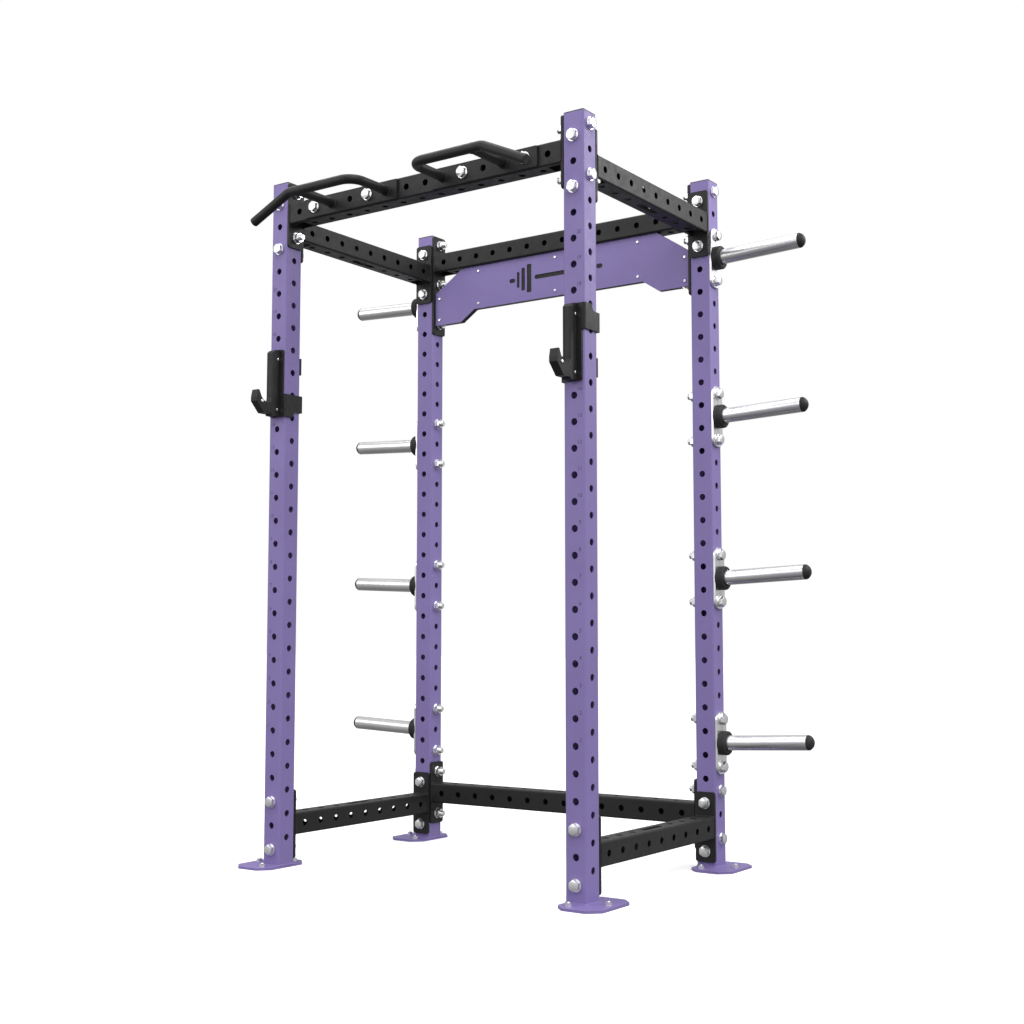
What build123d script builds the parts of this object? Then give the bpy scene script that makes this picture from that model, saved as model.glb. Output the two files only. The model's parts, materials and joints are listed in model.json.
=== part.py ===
from build123d import *
import os
from math import cos, radians, sin

os.makedirs("parts", exist_ok=True)

# ---------------------------------------------------------------- driving dimensions (mm)
PITCH = 76.2             # hole pitch of the whole frame
TUBE = 70.0              # square tube, outside
WALL = 3.0
CORNER_R = 6.0           # outside corner radius of the tube
HOLE_R = 10.5            # holes in tubes and plates
SPAN_X = 1168.4          # between upright centres, side to side
SPAN_Y = 782.0           # between upright centres, front to back
FRONT_Y = -334.5         # front upright centres; puts the origin under the middle of the overall box
REAR_Y = FRONT_Y + SPAN_Y
HOLE_Z0 = 58.5           # lowest hole in the front and rear faces of an upright
STEEL_TOP = 2263.0       # top of the upright tube
HALF = TUBE / 2
N_HOLES = 29             # holes per upright face

FOOT_T = 8.0
FOOT_IN = 37.0           # foot plate reaches this far inward from the upright centre
FOOT_OUT = 109.0         # and this far outward
FOOT_HALF_Y = 106.0
FOOT_CHAMFER = 34.0
ANCHOR_HOLE_R = 6.0
ANCHOR_OUT = 84.0        # outer anchor hole from the upright centre
ANCHOR_SIDE = 73.0       # side anchor holes from the upright centre
ANCHOR_R = 5.0
ANCHOR_TOP = 20.5        # the stud's top, above the floor
ANCHOR_WASHER_R = 10.0
ANCHOR_WASHER_T = 1.5
ANCHOR_NUT_AF = 17.0
ANCHOR_NUT_H = 8.0

FLANGE_T = 8.0
FLANGE_HALF = 111.0      # half length of a two-bolt flange
FLANGE_R = 9.0

BOLT_R = 10.0
HEX_AF = 30.0            # across flats of heads and nuts
HEAD_H = 12.5
NUT_H = 16.0
WASHER_R = 18.5
WASHER_T = 3.0
STUB = 12.0              # thread standing past the nut

SIDE_TOP_K = 27.0        # beam centre heights in hole pitches above HOLE_Z0
SIDE_LOW_K = 1.0
CROSS_TOP_K = 27.5
CROSS_LOW_K = 1.5
REAR_FLANGE_LOW_K = 23.96

SIDES = (("left", -1), ("right", 1))


def height(k):
    """Height of hole number k, counted from the lowest front hole."""
    return HOLE_Z0 + k * PITCH


def save(shapes, name):
    """Write one node; several solids go in as a group."""
    if not isinstance(shapes, (list, tuple)):
        shapes = [shapes]
    solids = []
    for s in shapes:
        solids.extend(s.solids())
    out = solids[0] if len(solids) == 1 else Compound(solids)
    export_step(out, f"parts/{name}.step")
    print(name, len(solids), round(sum(s.volume for s in solids)))


def box(x0, x1, y0, y1, z0, z1):
    b = Box(x1 - x0, y1 - y0, z1 - z0)
    return Pos((x0 + x1) / 2, (y0 + y1) / 2, (z0 + z1) / 2) * b


def rod(start, direction, length, radius):
    """Cylinder from a start point along a direction."""
    plane = Plane(origin=start, z_dir=direction)
    return plane * Cylinder(radius, length, align=(Align.CENTER, Align.CENTER, Align.MIN))


def square_tube(length):
    """Hollow square tube along +Z from z = 0."""
    outer = RectangleRounded(TUBE, TUBE, CORNER_R)
    inner = RectangleRounded(TUBE - 2 * WALL, TUBE - 2 * WALL, CORNER_R - WALL)
    return extrude(outer - inner, length)


def hex_prism(start, direction, h):
    """Hexagon head or nut body with its outer corners turned off."""
    plane = Plane(origin=start, z_dir=direction)
    prism = extrude(RegularPolygon(HEX_AF / 2, 6, major_radius=False), h)
    turned = Pos(0, 0, h / 2) * Cylinder(HEX_AF / 2 * 1.17, h)
    turned = chamfer(turned.edges().group_by(Axis.Z)[-1], 2.0)
    return plane * (prism & turned)


def hex_bolt(seat, direction, grip):
    """Bolt whose head sits on 'seat'; 'direction' points into the joint."""
    back = tuple(-c for c in direction)
    head = hex_prism(seat, back, HEAD_H)
    shank_len = grip + NUT_H + STUB
    shank = rod(seat, direction, shank_len, BOLT_R)
    tip = shank.edges().filter_by(GeomType.CIRCLE)
    end = Vector(*seat) + Vector(*direction) * shank_len
    tip = [e for e in tip if (e.arc_center - end).length < 0.01]
    shank = chamfer(tip, 1.5)
    return head + shank


def washer(seat, direction):
    ring = rod(seat, direction, WASHER_T, WASHER_R)
    return ring - rod(seat, direction, WASHER_T, BOLT_R + 0.5)


def hex_nut(seat, direction):
    body = hex_prism(seat, direction, NUT_H)
    return body - rod(seat, direction, NUT_H, BOLT_R + 0.1)


def fasten(seat, direction, clamped, bolts, nuts, washers):
    """Bolt, two washers and nut through 'clamped' millimetres of steel, from outside face 'seat'."""
    d = Vector(*direction)
    s = Vector(*seat)
    head_seat = s - d * WASHER_T
    nut_washer = s + d * clamped
    nut_seat = nut_washer + d * WASHER_T
    bolts.append(hex_bolt(tuple(head_seat), direction, clamped + 2 * WASHER_T))
    washers.append(washer(tuple(head_seat), direction))
    washers.append(washer(tuple(nut_washer), direction))
    nuts.append(hex_nut(tuple(nut_seat), direction))


# ---------------------------------------------------------------- uprights, feet and caps
def upright(x, y):
    tube = Pos(x, y, FOOT_T) * square_tube(STEEL_TOP - FOOT_T)
    holes = []
    for k in range(N_HOLES):
        holes.append(rod((x, y - HALF - 5, height(k)), (0, 1, 0), TUBE + 10, HOLE_R))
        holes.append(rod((x - HALF - 5, y, height(k + 0.5)), (1, 0, 0), TUBE + 10, HOLE_R))
    return tube - holes


def foot_plate(x, y, side):
    """Floor plate, longer on the outer side, with three anchor holes."""
    x_in = x - side * FOOT_IN
    x_out = x + side * FOOT_OUT
    plate = box(min(x_in, x_out), max(x_in, x_out), y - FOOT_HALF_Y, y + FOOT_HALF_Y, 0, FOOT_T)
    plate = chamfer(plate.edges().filter_by(Axis.Z), FOOT_CHAMFER)
    plate = fillet(plate.edges().filter_by(Axis.Z), 12.0)
    for ax, ay in anchor_points(x, y, side):
        plate -= rod((ax, ay, -1), (0, 0, 1), FOOT_T + 2, ANCHOR_HOLE_R)
    return plate


def anchor_points(x, y, side):
    return ((x + side * ANCHOR_OUT, y), (x, y - ANCHOR_SIDE), (x, y + ANCHOR_SIDE))


caps = []
studs = []
anchor_nuts = []
for fb, y in (("front", FRONT_Y), ("rear", REAR_Y)):
    for side_name, side in SIDES:
        x = side * SPAN_X / 2
        save(upright(x, y), f"upright_{fb}_{side_name}")
        save(foot_plate(x, y, side), f"foot_plate_{fb}_{side_name}")
        lid = extrude(RectangleRounded(TUBE, TUBE, CORNER_R), 3.0)
        lid = fillet(lid.edges().group_by(Axis.Z)[-1], 1.2)
        plug = extrude(RectangleRounded(62.0, 62.0, 2.5), -14.0)
        plug -= extrude(RectangleRounded(56.0, 56.0, 1.5), -14.0)
        caps.append(Pos(x, y, STEEL_TOP) * (lid + plug))
        for ax, ay in anchor_points(x, y, side):
            stud = rod((ax, ay, 0), (0, 0, 1), ANCHOR_TOP, ANCHOR_R)
            stud = chamfer(stud.edges().group_by(Axis.Z)[-1], 1.0)
            studs.append(stud)
            flange = rod((ax, ay, FOOT_T), (0, 0, 1), ANCHOR_WASHER_T, ANCHOR_WASHER_R)
            hexagon = extrude(RegularPolygon(ANCHOR_NUT_AF / 2, 6, major_radius=False), ANCHOR_NUT_H)
            body = flange + Pos(ax, ay, FOOT_T + ANCHOR_WASHER_T) * hexagon
            bore = rod((ax, ay, FOOT_T), (0, 0, 1), ANCHOR_WASHER_T + ANCHOR_NUT_H, ANCHOR_R + 0.1)
            anchor_nuts.append(body - bore)
save(caps, "upright_end_caps")
save(studs, "floor_anchor_studs")
save(anchor_nuts, "floor_anchor_nuts")

# ---------------------------------------------------------------- beams
SIDE_LEN = SPAN_Y - TUBE - 2 * FLANGE_T
CROSS_LEN = SPAN_X - TUBE - 2 * FLANGE_T
SLOT_LEN = 113.0
SLOT_W = 20.0
WINDOW_LEN = 56.0                            # window in the underside, from each flange
WINDOW_WIDE_EDGE = 15.5                      # steel left beside the window on one side
WINDOW_THIN_EDGE = 6.5                       # and on the other


def window(x0, x1, y0, y1, z_under):
    """Cutter for a window in the lower wall of a beam."""
    cut = box(x0, x1, y0, y1, z_under - 1, z_under + WALL + 1)
    return fillet(cut.edges().filter_by(Axis.Z), 2.5)


def side_beam(x, z):
    """Front-to-back tube with side holes, one long slot and holes in top and bottom, and two windows."""
    y0 = FRONT_Y + HALF + FLANGE_T
    mid = (FRONT_Y + REAR_Y) / 2
    tube = Pos(x, y0, z) * Rot(-90, 0, 0) * square_tube(SIDE_LEN)
    cuts = []
    for i in range(-4, 5):
        cuts.append(rod((x - HALF - 5, mid + i * PITCH, z), (1, 0, 0), TUBE + 10, HOLE_R))
    for i in (-3.5, -2.5, -1.5, 1.5, 2.5, 3.5):
        cuts.append(rod((x, mid + i * PITCH, z - HALF - 5), (0, 0, 1), TUBE + 10, HOLE_R))
    slot = extrude(Rot(0, 0, 90) * SlotOverall(SLOT_LEN, SLOT_W), TUBE + 10)
    cuts.append(Pos(x, mid, z - HALF - 5) * slot)
    out = 1 if x > 0 else -1
    x0, x1 = sorted((x - out * (HALF - WINDOW_WIDE_EDGE), x + out * (HALF - WINDOW_THIN_EDGE)))
    y1 = y0 + SIDE_LEN
    cuts.append(window(x0, x1, y0 - 5, y0 + WINDOW_LEN, z - HALF))
    cuts.append(window(x0, x1, y1 - WINDOW_LEN, y1 + 5, z - HALF))
    return tube - cuts


def cross_beam(y, z):
    """Side-to-side tube with holes at every pitch on all four faces, and a window at each end."""
    tube = Pos(-CROSS_LEN / 2, y, z) * Rot(0, 90, 0) * square_tube(CROSS_LEN)
    cuts = []
    for i in range(14):
        px = (i - 6.5) * PITCH
        cuts.append(rod((px, y - HALF - 5, z), (0, 1, 0), TUBE + 10, HOLE_R))
    for i in range(-6, 7):
        cuts.append(rod((i * PITCH, y, z - HALF - 5), (0, 0, 1), TUBE + 10, HOLE_R))
    out = 1 if y > 0 else -1
    y0, y1 = sorted((y + out * (HALF - WINDOW_WIDE_EDGE), y - out * (HALF - WINDOW_THIN_EDGE)))
    end = CROSS_LEN / 2
    cuts.append(window(end - WINDOW_LEN, end + 5, y0, y1, z - HALF))
    cuts.append(window(-end - 5, -end + WINDOW_LEN, y0, y1, z - HALF))
    return tube - cuts


def rounded_plate(half_y, z_low, z_high, thickness):
    """Plate in the YZ plane, thickness along +X from x = 0, rounded corners."""
    mid = (z_low + z_high) / 2
    shape = Plane.YZ * Pos(0, mid) * RectangleRounded(2 * half_y, z_high - z_low, FLANGE_R)
    return extrude(shape, thickness, dir=(1, 0, 0))


def side_flange(x, y, z):
    """Two-bolt flange of a side beam, standing across Y from y to y + thickness."""
    shape = Plane.XZ * RectangleRounded(TUBE, 2 * FLANGE_HALF, FLANGE_R)
    plate = Pos(x, y, z) * extrude(shape, FLANGE_T, dir=(0, 1, 0))
    for dz in (-PITCH, PITCH):
        plate -= rod((x, y - 1, z + dz), (0, 1, 0), FLANGE_T + 2, HOLE_R)
    return plate


def cross_flange(x, y, z_low, z_high, bolt_heights):
    plate = Pos(x, y, 0) * rounded_plate(HALF, z_low, z_high, FLANGE_T)
    for hz in bolt_heights:
        plate -= rod((x - 1, y, hz), (1, 0, 0), FLANGE_T + 2, HOLE_R)
    return plate


beam_bolts = []
nuts = []
washers = []
side_flanges = []
CLAMP = TUBE + FLANGE_T

for side_name, side in SIDES:
    x = side * SPAN_X / 2
    for level, k in (("top", SIDE_TOP_K), ("bottom", SIDE_LOW_K)):
        z = height(k)
        save(side_beam(x, z), f"side_beam_{level}_{side_name}")
        side_flanges.append(side_flange(x, FRONT_Y + HALF, z))
        side_flanges.append(side_flange(x, REAR_Y - HALF - FLANGE_T, z))
        for dz in (-PITCH, PITCH):
            front_seat = (x, FRONT_Y - HALF, z + dz)
            rear_seat = (x, REAR_Y - HALF - FLANGE_T, z + dz)
            fasten(front_seat, (0, 1, 0), CLAMP, beam_bolts, nuts, washers)
            fasten(rear_seat, (0, 1, 0), CLAMP, beam_bolts, nuts, washers)
save(side_flanges, "side_beam_flanges")

FLANGE_X = SPAN_X / 2 - HALF - FLANGE_T      # inner face of a cross-beam flange
Z_PULLUP = height(CROSS_TOP_K)
Z_REAR_LOW = height(CROSS_LOW_K)
save(cross_beam(FRONT_Y, Z_PULLUP), "pull_up_beam")
save(cross_beam(REAR_Y, Z_REAR_LOW), "rear_bottom_beam")
save(cross_beam(REAR_Y, Z_PULLUP), "rear_top_beam")

cross_flanges = []
rear_top_flanges = []
for side_name, side in SIDES:
    x0 = FLANGE_X if side > 0 else -FLANGE_X - FLANGE_T
    for y, z in ((FRONT_Y, Z_PULLUP), (REAR_Y, Z_REAR_LOW)):
        top = min(z + FLANGE_HALF, STEEL_TOP - 1.0)
        flange = cross_flange(x0, y, z - FLANGE_HALF, top, (z - PITCH, z + PITCH))
        cross_flanges.append(flange)
    rear_bolts = (height(28.5), height(26.5), height(24.5))
    flange = cross_flange(x0, REAR_Y, height(REAR_FLANGE_LOW_K), STEEL_TOP - 1.0, rear_bolts)
    rear_top_flanges.append(flange)
    seat_x = side * (SPAN_X / 2 + HALF)
    into = (-side, 0, 0)
    for y, hz in (
        (FRONT_Y, height(26.5)),
        (FRONT_Y, height(28.5)),
        (REAR_Y, height(0.5)),
        (REAR_Y, height(2.5)),
        (REAR_Y, height(28.5)),
    ):
        fasten((seat_x, y, hz), into, CLAMP, beam_bolts, nuts, washers)
save(cross_flanges, "cross_beam_flanges")
save(rear_top_flanges, "rear_top_beam_flanges")
save(beam_bolts, "beam_bolts")

# ---------------------------------------------------------------- name panel with a barbell cut-out
PANEL_Y = REAR_Y - HALF + 11.4               # front face of the panel
PANEL_T = 2.5
BACKING_T = 2.2
RIM_DEPTH = 18.0                             # folded rim of the backing, behind the sheet
RIM_HALF_X = 504.0                           # the rim stops short of the nuts at both ends
PANEL_TOP = Z_PULLUP - HALF - 0.5
PANEL_END = FLANGE_X - 1.2
PANEL_HALF_OUTLINE = (
    (0, PANEL_TOP),
    (416, PANEL_TOP),
    (PANEL_END, height(25.97)),
    (PANEL_END, height(24.38)),
    (421, height(24.38)),
    (359, height(24.92)),
    (0, height(24.92)),
)


def panel_sheet(y_front, thickness, inset=0.0):
    pts = list(PANEL_HALF_OUTLINE)
    mirrored = [(-px, pz) for px, pz in reversed(pts[1:-1])]
    flat = make_face(Polyline(*(pts + mirrored), close=True))
    if inset:
        flat = offset(flat, -inset, kind=Kind.INTERSECTION)
    face = Plane.XZ * flat
    return Pos(0, y_front, 0) * extrude(face, thickness, dir=(0, 1, 0))


panel = panel_sheet(PANEL_Y, PANEL_T)
backing = panel_sheet(PANEL_Y + PANEL_T, BACKING_T)
rim_y = PANEL_Y + PANEL_T + BACKING_T
rim = panel_sheet(rim_y, RIM_DEPTH) - panel_sheet(rim_y - 1, RIM_DEPTH + 2, BACKING_T)
rim &= box(-RIM_HALF_X, RIM_HALF_X, rim_y - 5, rim_y + 50, 1500, PANEL_TOP - 1.0)
backing += rim
MOTIF_Z = height(25.98)
SHAFT_LEN = 176.0                            # barbell drawn by the cut-outs: shaft, plates, sleeve ends
SHAFT_H = 16.0
END_X = 186.0
END_LEN = 26.0
PLATE_CUTS = ((112.0, 20.0, 104.0), (138.0, 16.0, 84.0), (160.0, 12.0, 58.0))


def panel_cut(x, width, tall, corner_r):
    """Rounded slot through the front sheet only."""
    slot = Plane.XZ * RectangleRounded(width, tall, corner_r)
    return Pos(x, PANEL_Y - 1, MOTIF_Z) * extrude(slot, PANEL_T + 1, dir=(0, 1, 0))


panel -= panel_cut(0, SHAFT_LEN, SHAFT_H, 7.9)
for side in (-1, 1):
    panel -= panel_cut(side * END_X, END_LEN, SHAFT_H, 7.9)
    for cut_x, cut_w, cut_h in PLATE_CUTS:
        panel -= panel_cut(side * cut_x, cut_w, cut_h, 4.0)

rivets = []
for px, pk in ((522, 25.71), (522, 24.64), (340, 26.77), (340, 25.17)):
    for side in (-1, 1):
        rivets.append((side * px, height(pk)))
rivets.extend(((0, height(26.77)), (0, height(25.17))))
rivet_solids = []
for px, pz in rivets:
    dome = rod((px, PANEL_Y, pz), (0, -1, 0), 2.6, 5.0)
    rim = [e for e in dome.edges().filter_by(GeomType.CIRCLE) if e.center().Y < PANEL_Y - 2]
    rivet_solids.append(fillet(rim, 2.0))
save(panel, "name_panel")
save(backing, "name_panel_backing")
save(rivet_solids, "name_panel_rivets")

# ---------------------------------------------------------------- multi-grip handles on the pull-up beam
BAR_R = 15.0
BAR_WALL = 2.5
GRIP_REACH = 204.0                           # grip axis in front of the upright centres
PLATE_T = 8.0
PLATE_HALF_H = 31.0
PLATE_IN_K = 0.93
PLATE_OUT_K = 6.07
LEG_K = 1.5
STRUT_K = 4.5
OUTER_BEND_X = 380.0
TIP_X = 533.0
TIP_DROP = 71.0
BEND_R = 48.0
PLATE_FACE_Y = FRONT_Y - HALF - PLATE_T
GRIP_Y = FRONT_Y - GRIP_REACH


def handle_bar(side):
    """Leg, grip and bent-down end as one bent tube."""
    leg_x = LEG_K * PITCH
    pts = [
        Vector(side * leg_x, PLATE_FACE_Y, Z_PULLUP),
        Vector(side * leg_x, GRIP_Y, Z_PULLUP),
        Vector(side * OUTER_BEND_X, GRIP_Y, Z_PULLUP),
        Vector(side * TIP_X, GRIP_Y, Z_PULLUP - TIP_DROP),
    ]
    path = FilletPolyline(*pts, radius=BEND_R)
    start = Plane(origin=pts[0], z_dir=(0, -1, 0))
    outer = sweep(start * Circle(BAR_R), path=path)
    inner = sweep(start * Circle(BAR_R - BAR_WALL), path=path)
    return outer - inner


def handle_strut(side):
    x = side * STRUT_K * PITCH
    outer = rod((x, PLATE_FACE_Y, Z_PULLUP), (0, -1, 0), PLATE_FACE_Y - GRIP_Y, BAR_R)
    inner = rod((x, PLATE_FACE_Y, Z_PULLUP), (0, -1, 0), PLATE_FACE_Y - GRIP_Y, BAR_R - BAR_WALL)
    grip = rod((x - 60, GRIP_Y, Z_PULLUP), (1, 0, 0), 120, BAR_R + 0.02)
    return outer - inner - grip


handle_caps = []
handle_bolts = []
for side_name, side in SIDES:
    x_in = side * PLATE_IN_K * PITCH
    x_out = side * PLATE_OUT_K * PITCH
    lo, hi = min(x_in, x_out), max(x_in, x_out)
    plate = box(lo, hi, PLATE_FACE_Y, FRONT_Y - HALF, Z_PULLUP - PLATE_HALF_H, Z_PULLUP + PLATE_HALF_H)
    plate = fillet(plate.edges().filter_by(Axis.Y), 3.0)
    for k in (2.5, 3.5, 5.5):
        plate -= rod((side * k * PITCH, PLATE_FACE_Y - 1, Z_PULLUP), (0, 1, 0), PLATE_T + 2, HOLE_R)
    save(plate, f"handle_plate_{side_name}")
    save(handle_bar(side), f"handle_bar_{side_name}")
    save(handle_strut(side), f"handle_strut_{side_name}")
    for k in (2.5, 5.5):
        seat = (side * k * PITCH, PLATE_FACE_Y, Z_PULLUP)
        fasten(seat, (0, 1, 0), TUBE + PLATE_T, handle_bolts, nuts, washers)
    run = Vector(side * (TIP_X - OUTER_BEND_X), 0, -TIP_DROP).normalized()
    tip = Vector(side * TIP_X, GRIP_Y, Z_PULLUP - TIP_DROP)
    disc = rod(tuple(tip), tuple(run), 3.0, BAR_R)
    end = tip + run * 3.0
    rim = [e for e in disc.edges().filter_by(GeomType.CIRCLE) if (e.arc_center - end).length < 0.1]
    disc = fillet(rim, 2.0)
    plug = rod(tuple(tip), tuple(-run), 16.0, BAR_R - BAR_WALL - 0.2)
    handle_caps.append(disc + plug)
save(handle_caps, "handle_end_caps")
save(handle_bolts, "handle_bolts")

# ---------------------------------------------------------------- storage horns
HORN_K = (4.5, 11.5, 18.5, 25.5)
HORN_PLATE_T = 8.0
HORN_PLATE_HALF_Y = 33.0
HORN_PLATE_HALF_Z = 100.0
HORN_PLATE_R = 26.0
COLLAR_R = 39.0
COLLAR_T = 25.0
SLEEVE_R = 24.15
SLEEVE_WALL = 3.0
SLEEVE_TILT = 2.5
SLEEVE_REACH = 360.5                         # tip of the end cap from the upright centre
CAP_T = 20.0                                 # a short straight rim, then a dome
CAP_RIM = 4.0
CAP_PLUG = 20.0                              # part of the cap inside the sleeve
SEAT_CUT = 0.5                               # the sleeve is turned down where the collar sits
SEAT_PAST = 2.0                              # and this far past it


def horn_cap(tip, run):
    """Domed end cap whose plug goes back into the sleeve; 'tip' is the centre of the sleeve's end."""
    cap_r = SLEEVE_R - 0.15
    plug_r = SLEEVE_R - SLEEVE_WALL - 0.2
    rise = CAP_T - CAP_RIM
    dome_r = (cap_r**2 + rise**2) / (2 * rise)
    middle = Vector(cap_r * 0.6, CAP_T - dome_r + (dome_r**2 - (cap_r * 0.6) ** 2) ** 0.5)
    straight = Polyline(
        (0, CAP_T),
        (0, -CAP_PLUG),
        (plug_r, -CAP_PLUG),
        (plug_r, 0),
        (cap_r, 0),
        (cap_r, CAP_RIM),
    )
    dome = ThreePointArc((cap_r, CAP_RIM), middle, (0, CAP_T))
    half = Plane.XZ * make_face(Curve() + [straight, dome])
    return Plane(origin=tip, z_dir=run) * revolve(half, Axis.Z)


horn_plates = []
collars = []
horn_caps = []
horn_bolts = []
face_out = SPAN_X / 2 + HALF + HORN_PLATE_T
for side_name, side in SIDES:
    for n, k in enumerate(HORN_K, 1):
        z = height(k)
        outline = Plane.YZ * RectangleRounded(2 * HORN_PLATE_HALF_Y, 2 * HORN_PLATE_HALF_Z, HORN_PLATE_R)
        sheet = extrude(outline, HORN_PLATE_T, dir=(side, 0, 0))
        plate = Pos(side * (SPAN_X / 2 + HALF), REAR_Y, z) * sheet
        top_shared = k == HORN_K[-1]
        for dz in (-PITCH, PITCH):
            seat = (side * face_out, REAR_Y, z + dz)
            plate -= rod(seat, (-side, 0, 0), HORN_PLATE_T + 1, HOLE_R)
            clamped = TUBE + HORN_PLATE_T + (FLANGE_T if top_shared else 0.0)
            fasten(seat, (-side, 0, 0), clamped, horn_bolts, nuts, washers)
        horn_plates.append(plate)

        run = Vector(side * cos(radians(SLEEVE_TILT)), 0, sin(radians(SLEEVE_TILT)))
        root = Vector(side * face_out, REAR_Y, z)
        length = (SPAN_X / 2 + SLEEVE_REACH - face_out) / cos(radians(SLEEVE_TILT)) - CAP_T
        start = root - run * 5.0
        outer = rod(tuple(start), tuple(run), length + 5.0, SLEEVE_R)
        inner = rod(tuple(start), tuple(run), length + 5.0, SLEEVE_R - SLEEVE_WALL)
        x_trim = side * (face_out - 20)
        trim = box(min(x_trim, side * face_out), max(x_trim, side * face_out),
                   REAR_Y - 40, REAR_Y + 40, z - 40, z + 40)
        seat_len = 5.0 + (COLLAR_T + SEAT_PAST) / cos(radians(SLEEVE_TILT))
        turned = rod(tuple(start), tuple(run), seat_len, SLEEVE_R + 1)
        turned -= rod(tuple(start), tuple(run), seat_len, SLEEVE_R - SEAT_CUT)
        save(outer - inner - trim - turned, f"horn_sleeve_{side_name}_{n}")

        collar = rod((side * face_out, REAR_Y, z), (side, 0, 0), COLLAR_T, COLLAR_R)
        far = side * (face_out + COLLAR_T)
        rim = [e for e in collar.edges().filter_by(GeomType.CIRCLE) if abs(e.arc_center.X - far) < 0.1]
        collar = fillet(rim, 6.0)
        collar -= rod(tuple(start), tuple(run), 60.0, SLEEVE_R - SEAT_CUT + 0.2)
        collars.append(collar)

        horn_caps.append(horn_cap(root + run * length, run))
save(horn_plates, "horn_plates")
save(collars, "horn_collars")
save(horn_caps, "horn_end_caps")
save(horn_bolts, "horn_bolts")
save(nuts, "hex_nuts")
save(washers, "washers")

# ---------------------------------------------------------------- J-cups
CUP_K = 20                                   # front hole that takes the pin
GAP = 0.5                                    # between the J-cup and the upright's front and sides
REAR_GAP = 3.0                               # between the arms and its rear face
SHEET = 6.0
CUP_HALF_H = 112.5
PLATE_HALF_X = 30.0
ARM_NEAR = 37.0                              # arms start this far above and below the pin
ARM_REAR = 93.0                              # and step in to this height towards the back
ARM_STEP = ((26.5, 112.5), (32.3, 108.0), (38.2, 97.5), (49.0, ARM_REAR))
ARM_END = 32.0                               # the arms end this far past the upright's centre
CHEEK_IN = 8.0
CHEEK_OUT = 14.0
STRAP_T = 4.0
PIN_R = 10.0
PIN_IN = 45.0

# Side profile of the hook: distance in front of the upright face, height above the pin.
COLUMN = ((6.5, 112.0), (20.0, 110.5), (30.0, 106.0), (37.0, 98.5), (37.0, -50.0))
SADDLE = ((37.0, -50.0), (41.0, -63.0), (54.0, -70.0))
SADDLE_OUT = ((54.0, -70.0), (72.0, -67.0), (86.0, -55.0))
LIP_IN = (97.0, -33.0)
STRAP_IN = ((98.0, -33.0), (104.4, -60.0), (104.4, -70.0), (73.0, -103.0), (45.0, -103.0))
BOTTOM = ((38.0, -112.0), (6.5, -112.0))
SCREWS = ((12.5, 79.0), (84.5, -69.0), (14.5, -90.0))


def hook_profile():
    """Closed face in the YZ plane, y negative towards the front."""
    lines = [
        Polyline(*COLUMN),
        ThreePointArc(*SADDLE),
        ThreePointArc(*SADDLE_OUT),
        Polyline(SADDLE_OUT[-1], LIP_IN, *STRAP_IN, *BOTTOM, COLUMN[0]),
    ]
    face = make_face(Curve() + lines)
    return face


def hook_slice(x0, x1):
    """Hook profile as a plate between two x positions, in the J-cup's own frame."""
    lying = extrude(hook_profile(), abs(x1 - x0))
    # profile (u, v) becomes (-y, z); thickness runs along x
    turned = Plane(origin=(min(x0, x1), 0, 0), x_dir=(0, -1, 0), z_dir=(-1, 0, 0)) * lying
    return Pos(abs(x1 - x0), 0, 0) * turned


def strap():
    """Steel strip round the outside of the hook."""
    outer = Polyline(
        (STRAP_IN[0][0] + 0.05, STRAP_IN[0][1]),
        *STRAP_IN[1:],
        (STRAP_IN[4][0], STRAP_IN[4][1] - STRAP_T),
        (STRAP_IN[3][0] + 1.5, STRAP_IN[3][1] - STRAP_T),
        (STRAP_IN[2][0] + STRAP_T, STRAP_IN[2][1] - 1.5),
        (STRAP_IN[1][0] + STRAP_T, STRAP_IN[1][1] + 1.0),
        (STRAP_IN[0][0] + STRAP_T + 0.5, STRAP_IN[0][1]),
        close=True,
    )
    strip = extrude(make_face(outer), 2 * CHEEK_OUT)
    return Plane(origin=(CHEEK_OUT, 0, 0), x_dir=(0, -1, 0), z_dir=(-1, 0, 0)) * strip


def arm_step(up):
    """Cutter that steps an arm's far edge in, from a little behind the front plate to the back."""
    edge = Spline(*((u, up * v) for u, v in ARM_STEP), tangents=((1, 0), (1, 0)))
    rest = Polyline(
        (ARM_STEP[-1][0], up * ARM_REAR),
        (100.0, up * ARM_REAR),
        (100.0, up * (CUP_HALF_H + 2)),
        (ARM_STEP[0][0], up * (CUP_HALF_H + 2)),
        (ARM_STEP[0][0], up * ARM_STEP[0][1]),
    )
    return extrude(Plane.YZ * make_face(Curve() + [edge, rest]), 60.0, both=True)


def bracket(side):
    """Back plate with an upper arm round the outer side and a lower arm round the inner side."""
    reach = HALF + GAP
    depth = (TUBE + GAP + REAR_GAP) / 2
    ring = extrude(RectangleRounded(2 * (reach + SHEET), 2 * (depth + SHEET), 7.0), 2 * CUP_HALF_H)
    ring -= extrude(RectangleRounded(2 * reach, 2 * depth, 1.0), 2 * CUP_HALF_H)
    ring = Pos(0, depth - GAP, -CUP_HALF_H) * ring
    plate = box(-PLATE_HALF_X, PLATE_HALF_X, -GAP - SHEET, -GAP, -CUP_HALF_H, CUP_HALF_H)
    out = fillet(plate.edges().filter_by(Axis.Y), 8.0)
    for arm_side, up in ((side, 1), (-side, -1)):
        lo, hi = sorted((up * ARM_NEAR, up * CUP_HALF_H))
        x_lo, x_hi = sorted((-arm_side * ARM_END, arm_side * 60.0))
        arm = ring & box(x_lo, x_hi, -20.0, 90.0, lo, hi)
        x_lo, x_hi = sorted((-arm_side * 60.0, -arm_side * 20.0))
        arm -= box(x_lo, x_hi, -20.0, 20.0, lo, hi)
        out += arm - arm_step(up)
    return out


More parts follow.
